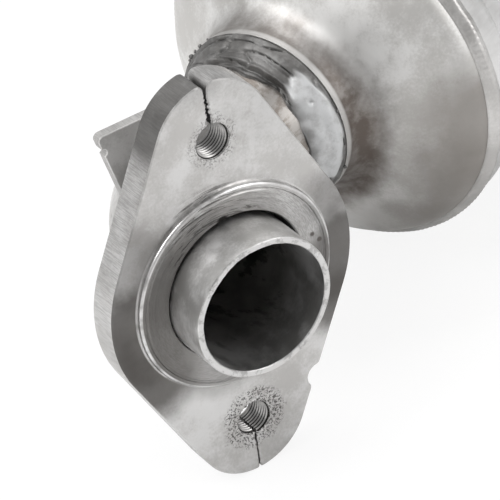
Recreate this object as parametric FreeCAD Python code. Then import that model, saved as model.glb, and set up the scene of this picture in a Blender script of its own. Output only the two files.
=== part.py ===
"""Catalytic converter: a two-brick stainless can between pressed domes, with a bent inlet pipe.

Frame: millimetres. The origin is the centre of the inlet flange's front face, on the inlet
pipe's axis. +X runs along the can in the direction of gas flow, +Z along the inlet flange from
its lower bolt hole to its upper one. The gas enters the inlet pipe along (cos, sin, 0) of the
inlet angle, turns through that angle in an elbow and flows on along +X.
"""
import FreeCAD, Part
import math
import os

Vector = FreeCAD.Vector

# inlet pipe and its elbow
pipe_radius = 20.0
pipe_wall = 1.8
inlet_angle = 68.0          # between the inlet pipe's axis and the can's axis, degrees
rim_length = 14.4           # pipe standing proud of the inlet flange's face
straight_behind_flange = 2.0
bend_radius = 40.0          # elbow, to the pipe's centre line
elbow_to_neck = 27.0        # straight pipe from the elbow's end to the collar's edge
flare_length = 5.5          # pipe end opened out to fill the collar
flare_insertion = 4.0       # pipe end inside the collar

# inlet flange, a thick plate with two threaded holes
flange_thickness = 9.0
bolt_pitch = 88.0
tip_radius = 17.0
waist_radius = 36.8
thread_radius = 5.0
bore_clearance = 0.6        # radial, between the pipe and the flange's bore
bore_shift = 0.35           # the bore's centre lies this far off the pipe's, up and to the right
boss_radius = 29.4
boss_height = 1.7
boss_edge_radius = 0.6
land_width = 4.6            # outer land of the boss; inside it the face is dished
dish_depth = 0.35
upper_kerf_width = 1.2      # saw cut from the upper hole out through the tip
upper_kerf_mouth = 2.4      # rounding where that cut leaves the tip
lower_kerf_width = 0.7
notch_radius = 3.5          # half-round locating notch in the lower right edge
notch_right = 21.7
notch_down = 41.2
notch_shoulder = 1.6        # rounding of the notch's two corners

# domes, pressed from sheet
dome_wall = 1.2
dome_radius = 51.9
dome_rise = 21.0            # crown above the dome's edge
crown_radius = 80.0
knuckle_radius = 9.0
collar_radius = 26.5
collar_height = 26.0        # collar's edge above the dome's edge
collar_fillet = 9.0
inlet_collar_offset = 4.1   # the inlet collar stands off the can's axis
skirt_length = 10.0         # dome's edge reaching inside the can
slip = 0.1                  # radial clearance of a slip joint

# can, rolled sheet with both ends opened out over the domes
can_wall = 1.2
can_length = 188.0
can_gap = 2.2               # bare dome between the dome's edge plane and the can's end
socket_length = 9.0         # opened-out end
joggle_length = 2.2
joggle_bend = 1.6
seam_width = 4.0            # longitudinal weld of the rolled can
seam_height = 0.5

# ceramic bricks and their mounting
mat_thickness = 4.2
brick_length = 70.0
brick_gap = 14.0
cell_pitch = 7.9
cell_wall = 1.3
cell_margin = 2.0           # unbroken skin round the cells
seal_width = 6.0

# outlet pipe and flange
outlet_length = 44.0        # collar's edge to the outlet flange's face
outlet_pipe_set_back = 1.5
stud_hole_radius = 5.5

# welds
flange_weld_leg = 3.6
flange_weld_crown = 0.4
neck_weld_length = 8.0
neck_weld_crown = 1.3
neck_weld_edge = 0.4        # collar's outer edge left bare by the bead
dome_weld_width = 5.0
dome_weld_crown = 0.6
dome_weld_toe = 0.2

# bracket, a flat tab standing on the elbow behind the inlet flange
bracket_depth = 20.0        # behind the inlet flange's face, to the tab's front
bracket_thickness = 3.0
bracket_left = 21.2
bracket_right = 11.0
bracket_top = 45.2
bracket_foot = 15.0         # half of its width where it meets the pipe
bracket_corner = 1.5
bracket_weld_leg = 2.4
bracket_weld_stop = 1.5     # bare foot left at each end of the weld

# worked out from the above
pipe_bore_radius = pipe_radius - pipe_wall
turn = math.radians(inlet_angle)
tangent_length = bend_radius * math.tan(turn / 2)
inlet_run = flange_thickness + straight_behind_flange    # from the face to the elbow's start
flow = Vector(math.cos(turn), math.sin(turn), 0)
outward = -flow
flange_right = Vector(math.sin(turn), -math.cos(turn), 0)
up = Vector(0, 0, 1)
along = Vector(1, 0, 0)
elbow_corner = flow * (inlet_run + tangent_length)
neck_start = elbow_corner.x + tangent_length + elbow_to_neck
neck_axis_y = elbow_corner.y
can_axis_y = neck_axis_y - inlet_collar_offset
dome_edge = neck_start + collar_height
can_start = dome_edge + can_gap
can_end = can_start + can_length
outlet_dome_edge = can_end + can_gap
outlet_neck = outlet_dome_edge + collar_height
outlet_face = outlet_neck + outlet_length
socket_radius = dome_radius + slip + can_wall
can_radius = socket_radius - can_wall
can_bore_radius = can_radius - can_wall
brick_radius = can_bore_radius - mat_thickness
collar_bore_radius = collar_radius - dome_wall
flare_radius = collar_bore_radius - slip
can_middle = (can_start + can_end) / 2
inside_pipe_wall = pipe_radius - pipe_wall / 2    # where a bead's blank ends before it is cut to the pipe
overrun = 1.0               # how far cutting solids pass the faces they open


def axes_placement(base, x_axis, y_axis, z_axis):
    """Places a piece drawn in XY with its depth along Z."""
    return FreeCAD.Placement(base, FreeCAD.Rotation(x_axis, y_axis, z_axis, "ZXY"))


inlet_flange_placement = axes_placement(Vector(0, 0, 0), flange_right, up, outward)
inlet_dome_placement = axes_placement(Vector(dome_edge, can_axis_y, 0), -along, Vector(0, 1, 0), -up)
outlet_flange_placement = axes_placement(
    Vector(outlet_face, can_axis_y, 0), Vector(0, 1, 0), up, along)


def inlet_place(shape):
    """From the inlet flange's own axes: right, up and out of its face."""
    shape.Placement = inlet_flange_placement.multiply(shape.Placement)
    return shape


def outlet_place(shape):
    """From the outlet flange's own axes: right, up and out of its face."""
    shape.Placement = outlet_flange_placement.multiply(shape.Placement)
    return shape


def rounded_wire(corners):
    """A closed wire through (x, r, rounding) corners of a half section, drawn in XY."""
    points = [Vector(x, r, 0) for x, r, rounding in corners]
    count = len(points)
    ends = []
    for i, (x, r, rounding) in enumerate(corners):
        here = points[i]
        back = (points[i - 1] - here).normalize()
        ahead = (points[(i + 1) % count] - here).normalize()
        half = back.getAngle(ahead) / 2
        reach = rounding / math.tan(half) if rounding else 0.0
        middle = (back + ahead).normalize() * (rounding / math.sin(half) - rounding) if rounding else None
        ends.append((here + back * reach, here + middle if rounding else None, here + ahead * reach))
    edges = []
    for i in range(count):
        arrive, middle, leave = ends[i]
        if middle is not None:
            edges.append(Part.Arc(arrive, middle, leave).toShape())
        following = ends[(i + 1) % count][0]
        if leave.distanceToPoint(following) > 1e-6:
            edges.append(Part.LineSegment(leave, following).toShape())
    return Part.Wire(edges)


def turned(corners, axis_y):
    """A solid of revolution about the line y = axis_y, z = 0 from a half section of (x, r, rounding)."""
    face = Part.Face(rounded_wire(corners))
    solid = face.revolve(Vector(0, 0, 0), along, 360)
    solid.translate(Vector(0, axis_y, 0))
    return solid


def bar(radius, start, length, direction):
    """A cylinder from a point along a direction."""
    return Part.makeCylinder(radius, length, start, direction)


def flange_outline():
    """Two tips and a waist joined by their common tangents, in XY about the origin."""
    half_pitch = bolt_pitch / 2
    lean = math.asin((waist_radius - tip_radius) / half_pitch)
    across, rise = math.cos(lean), math.sin(lean)
    edges = []
    for side in (1, -1):
        lower = Vector(side * waist_radius * across, -side * waist_radius * rise, 0)
        middle = Vector(side * waist_radius, 0, 0)
        upper = Vector(side * waist_radius * across, side * waist_radius * rise, 0)
        tip_in = Vector(side * tip_radius * across, side * (half_pitch + tip_radius * rise), 0)
        tip_top = Vector(0, side * (half_pitch + tip_radius), 0)
        tip_out = Vector(-side * tip_radius * across, side * (half_pitch + tip_radius * rise), 0)
        next_waist = Vector(-side * waist_radius * across, side * waist_radius * rise, 0)
        edges.append(Part.Arc(lower, middle, upper).toShape())
        edges.append(Part.LineSegment(upper, tip_in).toShape())
        edges.append(Part.Arc(tip_in, tip_top, tip_out).toShape())
        edges.append(Part.LineSegment(tip_out, next_waist).toShape())
    return Part.Face(Part.Wire(edges))


def flange_blank():
    """The cut plate, its front face at z = 0."""
    return flange_outline().extrude(Vector(0, 0, -flange_thickness))


def through(radius, x, y):
    """A drill through the plate and whatever stands on it."""
    depth = flange_thickness + boss_height + 2 * overrun
    return bar(radius, Vector(x, y, boss_height + overrun), depth, Vector(0, 0, -1))


def kerf(side, width, mouth):
    """A saw cut from a bolt hole out through its tip, its mouth rounded open where it leaves."""
    reach = tip_radius + overrun
    depth = flange_thickness + 2 * overrun
    low = Vector(-width / 2, side * bolt_pitch / 2 + min(0, side * reach), -flange_thickness - overrun)
    cut = Part.makeBox(width, reach, depth, low)
    if mouth:
        tip = side * (bolt_pitch / 2 + tip_radius)
        opened = Part.makeBox(width + 2 * mouth, mouth, depth, Vector(-width / 2 - mouth, tip - mouth, low.z))
        for hand in (1, -1):
            corner = Vector(hand * (width / 2 + mouth), tip - mouth, low.z)
            opened = opened.cut(bar(mouth, corner, depth, Vector(0, 0, 1)))
        cut = cut.fuse(opened)
    return cut


def inlet_flange():
    land_inner = boss_radius - land_width
    boss = turned([
        (-overrun, 0, 0), (-overrun, boss_radius, 0), (boss_height, boss_radius, boss_edge_radius),
        (boss_height, land_inner, 0), (boss_height - dish_depth, land_inner - dish_depth, 0),
        (boss_height - dish_depth, 0, 0),
    ], 0)
    boss.rotate(Vector(0, 0, 0), Vector(0, 1, 0), -90)
    plate = flange_blank().fuse(boss)
    plate = plate.cut(through(pipe_radius + bore_clearance, bore_shift, bore_shift))
    for side in (1, -1):
        plate = plate.cut(through(thread_radius, 0, side * bolt_pitch / 2))
    plate = plate.cut(kerf(1, upper_kerf_width, upper_kerf_mouth))
    plate = plate.cut(kerf(-1, lower_kerf_width, 0))
    plate = plate.cut(through(notch_radius, notch_right, -notch_down))
    corners = [
        edge for edge in plate.Edges
        if edge.BoundBox.ZLength > flange_thickness - slip
        and abs(edge.CenterOfMass.sub(Vector(notch_right, -notch_down, edge.CenterOfMass.z)).Length
                - notch_radius) < slip
    ]
    return inlet_place(plate.makeFillet(notch_shoulder, corners).removeSplitter())


def swept_bar(radius, before):
    """The inlet run as a solid bar from the rim to the flare: straight, elbow, straight. It passes
    the rim by before."""
    start = outward * (rim_length + before)
    bend_start = flow * inlet_run
    bend_end = elbow_corner + along * tangent_length
    centre = bend_start + Vector(-flow.y, flow.x, 0) * -bend_radius
    middle = centre + (elbow_corner - centre).normalize() * bend_radius
    end = Vector(neck_start - flare_length, neck_axis_y, 0)
    path = Part.Wire([
        Part.LineSegment(start, bend_start).toShape(),
        Part.Arc(bend_start, middle, bend_end).toShape(),
        Part.LineSegment(bend_end, end).toShape(),
    ])
    section = Part.Wire([Part.Circle(start, flow, radius).toShape()])
    return path.makePipeShell([section], True, False)


def flare(shrink, start, end, axis_y, hand, after):
    """The opened pipe end as a solid, shrink inside its outer face, from the plain pipe at start
    to the end inside the collar; hand is +1 where the flare opens along +X."""
    opened = start + hand * flare_length
    half = [
        (start, 0, 0), (start, pipe_radius - shrink, 0), (opened, flare_radius - shrink, 0),
        (end + hand * after, flare_radius - shrink, 0), (end + hand * after, 0, 0),
    ]
    return turned(half, axis_y)


def inlet_pipe_bar(shrink, before, after):
    """The whole inlet pipe as a solid, its surface shrink inside the outer one."""
    opening = neck_start - flare_length
    body = swept_bar(pipe_radius - shrink, before)
    return body.fuse(flare(shrink, opening, neck_start + flare_insertion, neck_axis_y, 1, after))


def inlet_pipe():
    return inlet_pipe_bar(0, 0, 0).cut(inlet_pipe_bar(pipe_wall, overrun, overrun)).removeSplitter()


def outlet_pipe_bar(shrink, before, after):
    """The straight outlet pipe as a solid, its surface shrink inside the outer one."""
    opening = outlet_neck + flare_length
    end = outlet_face - outlet_pipe_set_back + after
    body = bar(pipe_radius - shrink, Vector(opening, can_axis_y, 0), end - opening, along)
    return body.fuse(flare(shrink, opening, outlet_neck - flare_insertion, can_axis_y, -1, before))


def outlet_pipe():
    return outlet_pipe_bar(0, 0, 0).cut(outlet_pipe_bar(pipe_wall, overrun, overrun)).removeSplitter()


def dome_solid(shrink, skirt, collar, offset):
    """A dome filled solid, shrink inside its outer face: skirt, knuckle, crown and collar with its
    fillet. Its edge plane is x = 0, it rises along +X and its collar stands off in +Y."""
    rim = dome_radius - shrink
    knuckle = knuckle_radius - shrink
    crown = crown_radius - shrink
    crown_centre = dome_rise - crown_radius
    knuckle_centre = crown_centre + math.sqrt((crown - knuckle) ** 2 - (rim - knuckle) ** 2)
    meet = math.atan2(rim - knuckle, knuckle_centre - crown_centre)
    on_knuckle = (meet + math.pi / 2) / 2
    edges = [
        Part.LineSegment(Vector(-skirt, 0, 0), Vector(-skirt, rim, 0)),
        Part.LineSegment(Vector(-skirt, rim, 0), Vector(knuckle_centre, rim, 0)),
        Part.Arc(
            Vector(knuckle_centre, rim, 0),
            Vector(knuckle_centre + knuckle * math.cos(on_knuckle),
                   rim - knuckle + knuckle * math.sin(on_knuckle), 0),
            Vector(crown_centre + crown * math.cos(meet), crown * math.sin(meet), 0),
        ),
        Part.Arc(
            Vector(crown_centre + crown * math.cos(meet), crown * math.sin(meet), 0),
            Vector(crown_centre + crown * math.cos(meet / 2), crown * math.sin(meet / 2), 0),
            Vector(crown_centre + crown, 0, 0),
        ),
        Part.LineSegment(Vector(crown_centre + crown, 0, 0), Vector(-skirt, 0, 0)),
    ]
    section = Part.Face(Part.Wire([edge.toShape() for edge in edges]))
    head = section.revolve(Vector(0, 0, 0), along, 360)
    stem = bar(collar_radius - shrink, Vector(0, offset, 0), collar, along)
    joined = head.fuse(stem).removeSplitter()
    corner = [
        edge for edge in joined.Edges
        if edge.BoundBox.XMin > overrun and edge.BoundBox.XMax < collar - overrun
        and edge.BoundBox.YLength > collar_radius
    ]
    return joined.makeFillet(collar_fillet + shrink, corner)


def dome(offset):
    outer = dome_solid(0, skirt_length, collar_height, offset)
    inner = dome_solid(dome_wall, skirt_length + overrun, collar_height + overrun, offset)
    return outer.cut(inner)


def inlet_dome():
    shell = dome(inlet_collar_offset)
    shell.Placement = inlet_dome_placement
    return shell


def outlet_dome():
    shell = dome(0.0)
    shell.translate(Vector(outlet_dome_edge, can_axis_y, 0))
    return shell


def can_bar(shrink, beyond):
    """The can filled solid, shrink inside its outer face, passing its ends by beyond."""
    big, small = socket_radius - shrink, can_radius - shrink
    out_bend, in_bend = joggle_bend, joggle_bend + shrink
    step_in, step_out = can_start + socket_length, can_start + socket_length + joggle_length
    back_in, back_out = can_end - socket_length - joggle_length, can_end - socket_length
    return turned([
        (can_start - beyond, 0, 0), (can_start - beyond, big, 0), (step_in, big, out_bend),
        (step_out, small, in_bend), (back_in, small, in_bend), (back_out, big, out_bend),
        (can_end + beyond, big, 0), (can_end + beyond, 0, 0),
    ], can_axis_y)


def can_shell():
    return can_bar(0, 0).cut(can_bar(can_wall, overrun))


def can_seam_weld():
    """The rolled can's own seam, a low bead along its far side between the joggles."""
    start = can_start + socket_length + 2 * joggle_length
    length = can_end - socket_length - 2 * joggle_length - start
    bead_radius = (seam_width ** 2 / 4 + seam_height ** 2) / (2 * seam_height)
    centre = Vector(start, can_axis_y + can_radius + seam_height - bead_radius, 0)
    bead = bar(bead_radius, centre, length, along)
    return bead.cut(bar(can_radius, Vector(start - overrun, can_axis_y, 0), length + 2 * overrun, along))


def brick_starts():
    first = can_middle - brick_gap / 2 - brick_length
    return [first, can_middle + brick_gap / 2]


def brick(start):
    """A honeycomb block: square cells through it in a grid, inside an unbroken skin."""
    body = bar(brick_radius, Vector(start, can_axis_y, 0), brick_length, along)
    half = (cell_pitch - cell_wall) / 2
    reach = brick_radius - cell_margin
    span = int(reach // cell_pitch)
    cells = []
    for row in range(-span, span + 1):
        for column in range(-span, span + 1):
            y, z = column * cell_pitch, row * cell_pitch
            if math.hypot(abs(y) + half, abs(z) + half) > reach:
                continue
            low = Vector(start - overrun, can_axis_y + y - half, z - half)
            cells.append(Part.makeBox(brick_length + 2 * overrun, 2 * half, 2 * half, low))
    return body.cut(Part.makeCompound(cells))


def sleeve(start, length):
    """A ring filling the space between a brick and the can."""
    outer = bar(can_bore_radius, Vector(start, can_axis_y, 0), length, along)
    return outer.cut(bar(brick_radius, Vector(start - overrun, can_axis_y, 0), length + 2 * overrun, along))


def mat(start):
    return sleeve(start + seal_width, brick_length - 2 * seal_width)


def end_seals(start):
    return [sleeve(start, seal_width), sleeve(start + brick_length - seal_width, seal_width)]


def fillet_ring(start, hand, axis_y):
    """A weld fillet of revolution, its legs on the pipe and on a flange's back at x = start."""
    toe = Vector(start + hand * flange_weld_leg, pipe_radius, 0)
    root = Vector(start, pipe_radius + flange_weld_leg, 0)
    corner = Vector(start, pipe_radius, 0)
    middle = (toe + root) * 0.5 + Vector(hand, 1, 0).normalize() * flange_weld_crown
    section = Part.Face(Part.Wire([
        Part.Arc(toe, middle, root).toShape(),
        Part.LineSegment(root, corner).toShape(),
        Part.LineSegment(corner, toe).toShape(),
    ]))
    ring = section.revolve(Vector(0, 0, 0), along, 360)
    ring.translate(Vector(0, axis_y, 0))
    return ring


def inlet_flange_weld():
    ring = fillet_ring(0, 1, 0)
    ring.rotate(Vector(0, 0, 0), Vector(0, 1, 0), 90)
    ring.translate(Vector(0, 0, -flange_thickness))
    return inlet_place(ring)


def outlet_flange_weld():
    return fillet_ring(outlet_face - flange_thickness, -1, can_axis_y)


def neck_weld(edge, hand, axis_y, pipe_solid):
    """The bead that closes a collar on its pipe: from the plain pipe, over the flare, to the
    collar's outer edge. hand is the direction from the collar out along the pipe."""
    toe = Vector(edge + hand * neck_weld_length, pipe_radius, 0)
    crest = Vector(edge, collar_radius - neck_weld_edge, 0)
    rise = Vector(hand * (crest.y - toe.y), abs(toe.x - crest.x), 0).normalize()
    middle = (toe + crest) * 0.5 + rise * neck_weld_crown
    under_toe = Vector(toe.x, inside_pipe_wall, 0)
    under_crest = Vector(edge, inside_pipe_wall, 0)
    section = Part.Face(Part.Wire([
        Part.Arc(toe, middle, crest).toShape(),
        Part.LineSegment(crest, under_crest).toShape(),
        Part.LineSegment(under_crest, under_toe).toShape(),
        Part.LineSegment(under_toe, toe).toShape(),
    ]))
    ring = section.revolve(Vector(0, 0, 0), along, 360)
    ring.translate(Vector(0, axis_y, 0))
    return ring.cut(pipe_solid)


def inlet_neck_weld():
    return neck_weld(neck_start, -1, neck_axis_y, inlet_pipe_bar(0, 0, 0))


def outlet_neck_weld():
    return neck_weld(outlet_neck, 1, can_axis_y, outlet_pipe_bar(0, 0, 0))


def dome_weld(edge, hand):
    """The bead that closes a can's end on its dome. hand is the direction from the dome into the
    can."""
    toe = Vector(edge - hand * dome_weld_toe, dome_radius, 0)
    over = Vector(edge + hand * dome_weld_width, socket_radius, 0)
    crest = Vector((toe.x + over.x) / 2, socket_radius + dome_weld_crown, 0)
    under_toe = Vector(toe.x, dome_radius - dome_wall, 0)
    under_over = Vector(over.x, dome_radius - dome_wall, 0)
    section = Part.Face(Part.Wire([
        Part.Arc(toe, crest, over).toShape(),
        Part.LineSegment(over, under_over).toShape(),
        Part.LineSegment(under_over, under_toe).toShape(),
        Part.LineSegment(under_toe, toe).toShape(),
    ]))
    ring = section.revolve(Vector(0, 0, 0), along, 360)
    ring.translate(Vector(0, can_axis_y, 0))
    head = dome_solid(0, skirt_length, collar_height, 0.0)
    if hand > 0:
        head.Placement = inlet_dome_placement
    else:
        head.translate(Vector(edge, can_axis_y, 0))
    return ring.cut(head).cut(can_bar(0, 0))


def inlet_dome_weld():
    return dome_weld(dome_edge, 1)


def outlet_dome_weld():
    return dome_weld(outlet_dome_edge, -1)


def outlet_flange():
    plate = flange_blank()
    plate = plate.cut(through(pipe_radius + bore_clearance, 0, 0))
    for side in (1, -1):
        plate = plate.cut(through(stud_hole_radius, 0, side * bolt_pitch / 2))
    return outlet_place(plate)


def bracket_blank():
    """The flat tab before its foot is cut to the pipe: it reaches halfway into the pipe."""
    foot = pipe_radius / 2
    corners = [
        (-bracket_left, bracket_top, bracket_corner), (-bracket_foot, foot, 0),
        (bracket_foot, foot, 0), (bracket_right, bracket_top, bracket_corner),
    ]
    tab = Part.Face(rounded_wire(corners)).extrude(Vector(0, 0, -bracket_thickness))
    tab.translate(Vector(0, 0, -bracket_depth))
    return inlet_place(tab)


def bracket():
    return bracket_blank().cut(inlet_pipe_bar(0, 0, 0))


def bracket_weld():
    """A fillet along the foot of the tab on each face, where it stands on the elbow."""
    into_bend = bracket_depth - inlet_run
    sideways = bend_radius - math.sqrt(bend_radius ** 2 - into_bend ** 2)
    half_angle = math.degrees(math.asin((bracket_foot - bracket_weld_stop) / pipe_radius))
    root = pipe_radius + bracket_weld_leg
    beads = []
    for face, hand in ((bracket_depth, 1), (bracket_depth + bracket_thickness, -1)):
        toe = hand * bracket_weld_leg
        section = Part.Face(Part.makePolygon([
            Vector(0, inside_pipe_wall, 0), Vector(0, root, 0), Vector(toe, pipe_radius, 0),
            Vector(toe, inside_pipe_wall, 0), Vector(0, inside_pipe_wall, 0),
        ]))
        bead = section.revolve(Vector(0, 0, 0), along, 2 * half_angle)
        bead.rotate(Vector(0, 0, 0), along, -half_angle)
        bead.rotate(Vector(0, 0, 0), Vector(0, 1, 0), -90)
        bead.translate(Vector(sideways, 0, -face))
        beads.append(inlet_place(bead).cut(inlet_pipe_bar(0, 0, 0)))
    return Part.makeCompound(beads)


def pieces():
    """Each piece's name and shape, from the inlet end to the outlet end."""
    made = {
        "inlet_flange": inlet_flange(),
        "inlet_pipe": inlet_pipe(),
        "inlet_flange_weld": inlet_flange_weld(),
        "bracket": bracket(),
        "bracket_weld": bracket_weld(),
        "inlet_neck_weld": inlet_neck_weld(),
        "inlet_dome": inlet_dome(),
        "inlet_dome_weld": inlet_dome_weld(),
        "can_shell": can_shell(),
        "can_seam_weld": can_seam_weld(),
    }
    for place, start in zip(("front", "rear"), brick_starts()):
        made[place + "_brick"] = brick(start)
        made[place + "_mat"] = mat(start)
        for end, seal in zip(("inlet", "outlet"), end_seals(start)):
            made[place + "_" + end + "_seal"] = seal
    made["outlet_dome"] = outlet_dome()
    made["outlet_dome_weld"] = outlet_dome_weld()
    made["outlet_neck_weld"] = outlet_neck_weld()
    made["outlet_pipe"] = outlet_pipe()
    made["outlet_flange_weld"] = outlet_flange_weld()
    made["outlet_flange"] = outlet_flange()
    return made


os.makedirs("parts", exist_ok=True)
for name, shape in pieces().items():
    shape.exportStep("parts/" + name + ".step")
    box = shape.BoundBox
    print(name, len(shape.Solids), "solid, valid", shape.isValid(), "mm3", round(shape.Volume),
          "x", round(box.XMin, 1), round(box.XMax, 1), "y", round(box.YMin, 1), round(box.YMax, 1),
          "z", round(box.ZMin, 1), round(box.ZMax, 1))
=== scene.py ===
"""Catalytic converter, dressed in the order it is welded together.

Metres. The origin is the centre of the inlet flange's face, +X runs along the can with the gas
and +Z runs up the inlet flange from its lower bolt hole to its upper one.
"""
from math import asin, atan2, cos, exp, hypot, pi, radians, sin, sqrt, tan

import bmesh
import bpy
from mathutils import Matrix, Vector
from mathutils.noise import noise


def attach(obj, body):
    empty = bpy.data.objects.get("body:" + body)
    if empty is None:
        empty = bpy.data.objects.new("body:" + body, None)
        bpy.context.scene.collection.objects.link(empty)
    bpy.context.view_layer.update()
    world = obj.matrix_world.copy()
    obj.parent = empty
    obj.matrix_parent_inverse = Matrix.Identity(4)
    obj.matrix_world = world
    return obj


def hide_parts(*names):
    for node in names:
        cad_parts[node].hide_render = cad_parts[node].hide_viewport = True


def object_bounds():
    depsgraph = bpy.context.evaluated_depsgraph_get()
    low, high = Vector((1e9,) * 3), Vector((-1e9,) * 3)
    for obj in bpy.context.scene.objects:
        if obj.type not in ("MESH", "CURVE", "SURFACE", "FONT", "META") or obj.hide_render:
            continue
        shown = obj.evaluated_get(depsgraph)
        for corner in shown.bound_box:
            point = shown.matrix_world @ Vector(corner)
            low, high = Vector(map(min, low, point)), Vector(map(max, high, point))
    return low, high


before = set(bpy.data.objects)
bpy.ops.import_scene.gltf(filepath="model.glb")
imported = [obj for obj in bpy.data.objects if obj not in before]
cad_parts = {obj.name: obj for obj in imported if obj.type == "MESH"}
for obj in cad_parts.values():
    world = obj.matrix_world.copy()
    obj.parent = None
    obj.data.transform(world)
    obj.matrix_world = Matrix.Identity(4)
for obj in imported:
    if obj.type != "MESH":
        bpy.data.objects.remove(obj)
cad_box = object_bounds()
mm = 0.001

# ------------------
# Studio: a white sweep of floor, one broad soft lamp over the left shoulder, a paler one from
# the right and one from above. The camera looks down on the inlet.


def add_object(name, data):
    """Puts new data in the scene."""
    thing = bpy.data.objects.new(name, data)
    bpy.context.scene.collection.objects.link(thing)
    return thing


def feed(socket, value):
    """Gives an input a value, or links it to another node's output."""
    if isinstance(value, bpy.types.NodeSocket):
        socket.id_data.links.new(value, socket)
    else:
        socket.default_value = value


def make_node(tree, kind, inputs, **settings):
    """A shader node with its settings and its inputs, by name or by number."""
    node = tree.nodes.new("ShaderNode" + kind)
    for setting, value in settings.items():
        setattr(node, setting, value)
    for name, value in inputs.items():
        feed(node.inputs[name], value)
    return node


def show_white(owner, kind, grey_kind, grey, white_kind, share):
    """Lights the part by a grey surface that the camera sees as white, by its share."""
    owner.use_nodes = True
    tree = owner.node_tree
    tree.nodes.clear()
    seen = make_node(tree, "LightPath", {}).outputs["Is Camera Ray"]
    seen = make_node(tree, "Math", {0: seen, 1: share}, operation="MULTIPLY").outputs[0]
    lit = make_node(tree, grey_kind, {"Color": (grey, grey, grey, 1)}).outputs[0]
    white = make_node(tree, white_kind, {"Color": (1, 1, 1, 1)}).outputs[0]
    mixed = make_node(tree, "MixShader", {"Fac": seen, 1: lit, 2: white}).outputs[0]
    make_node(tree, "Output" + kind, {"Surface": mixed})


floor_half, floor_level = 6.0, cad_box[0][2]
floor_mesh = bpy.data.meshes.new("studio_floor")
floor_signs = ((-1, -1), (1, -1), (1, 1), (-1, 1))
floor_corners = [(x * floor_half, y * floor_half, floor_level) for x, y in floor_signs]
floor_mesh.from_pydata(floor_corners, [], [(0, 1, 2, 3)])
studio_floor = add_object("studio_floor", floor_mesh)
floor_paint = bpy.data.materials.new("white_sweep")
show_white(floor_paint, "Material", "BsdfDiffuse", 0.88, "Emission", 0.86)
floor_mesh.materials.append(floor_paint)
sky = bpy.data.worlds.new("studio_walls")
show_white(sky, "World", "Background", 0.62, "Background", 1.0)
bpy.context.scene.world = sky


def hang_lamp(name, place, wide, tall, watts):
    """A softbox: a rectangular area lamp facing the middle of the inlet end."""
    light = bpy.data.lights.new(name, "AREA")
    light.shape = "RECTANGLE"
    light.size, light.size_y, light.energy = wide, tall, watts
    lamp = add_object(name, light)
    lamp.location = place
    lamp.rotation_euler = (Vector((0.08, 0.03, 0.0)) - Vector(place)).to_track_quat("-Z", "Y").to_euler()


hang_lamp("key_softbox", (-0.9, 0.5, 1.3), 0.9, 0.9, 20)
hang_lamp("side_softbox", (0.5, -1.3, 0.7), 0.7, 1.0, 8.5)
hang_lamp("top_softbox", (0.4, 0.3, 1.5), 1.0, 0.5, 10)

sight = Vector((0.64027, 0.50807, -0.57612))
image_right = Vector((0.55069, -0.82649, -0.11684))
image_up = Vector((0.53552, 0.24246, 0.80897))
lens = bpy.data.cameras.new("camera")
lens.lens, lens.sensor_width = 237.66, 36.0
lens.clip_start = 0.05
camera = add_object("camera", lens)
turned = Matrix((image_right, image_up, -sight)).transposed()
camera.matrix_world = Matrix.Translation((-0.53474, -0.43116, 0.49383)) @ turned.to_4x4()
bpy.context.scene.camera = camera
bpy.context.scene.view_settings.view_transform = "Standard"

# ------------------
# Inlet pipe: drawn stainless tube, cut square, bent in an elbow and opened out at its far end
# to fill the dome's collar. It stands through the flange and its rim is a little out of round.
pipe_radius = 20.0 * mm
pipe_wall = 1.8 * mm
inlet_angle = radians(68.0)
rim_length = 14.4 * mm
rim_out_of_round = 0.25 * mm
rim_ripple = 0.2 * mm
bend_start_depth = 11.0 * mm
bend_radius = 40.0 * mm
elbow_to_neck = 27.0 * mm
flare_length = 5.5 * mm
flare_insertion = 4.0 * mm
collar_bore = 25.3 * mm
slip = 0.1 * mm
flare_radius = collar_bore - slip
tube_edge = 0.25 * mm

flow = Vector((cos(inlet_angle), sin(inlet_angle), 0))
outward = -flow
flange_right = Vector((sin(inlet_angle), -cos(inlet_angle), 0))
up = Vector((0, 0, 1))
along = Vector((1, 0, 0))
tangent_length = bend_radius * tan(inlet_angle / 2)
elbow_corner = flow * (bend_start_depth + tangent_length)
neck_start = elbow_corner.x + tangent_length + elbow_to_neck
neck_axis = Vector((0, elbow_corner.y, 0))
bend_start = rim_length + bend_start_depth
bend_length = bend_radius * inlet_angle
pipe_length = bend_start + bend_length + elbow_to_neck + flare_insertion
flare_from = pipe_length - flare_insertion - flare_length


def closed_skin(*strips, capped=False):
    """A mesh through strips of closed loops of points. A strip's last loop joins its first one;
    if it is capped, a face closes each of its ends instead."""
    points, faces = [], []
    for loops in strips:
        start, count = len(points), len(loops[0])
        points += [point for loop in loops for point in loop]
        for row in range(len(loops) - 1 if capped else len(loops)):
            here, ahead = start + row * count, start + (row + 1) % len(loops) * count
            for i in range(count):
                j = (i + 1) % count
                faces.append((here + i, here + j, ahead + j, ahead + i))
        if capped:
            faces += [range(start, start + count), range(len(points) - count, len(points))]
    mesh = bpy.data.meshes.new("skin")
    mesh.from_pydata(points, [], faces)
    return mesh


def fit_piece(name, mesh, material, node, crease=38):
    """Puts a finished mesh in the assembly in place of its plain solid."""
    mesh.name = name
    build = bmesh.new()
    build.from_mesh(mesh)
    bmesh.ops.recalc_face_normals(build, faces=build.faces)
    build.to_mesh(mesh)
    build.free()
    mesh.shade_smooth()
    mesh.set_sharp_from_angle(angle=radians(crease))
    mesh.materials.append(material)
    piece = add_object(name, mesh)
    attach(piece, "root")
    if node:
        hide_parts(node)


def noise_node(place, scale, detail, roughness=0.5):
    """Cloudy noise over a place."""
    inputs = {"Vector": place, "Scale": scale, "Detail": detail, "Roughness": roughness}
    return make_node(place.id_data, "TexNoise", inputs).outputs["Fac"]


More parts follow.
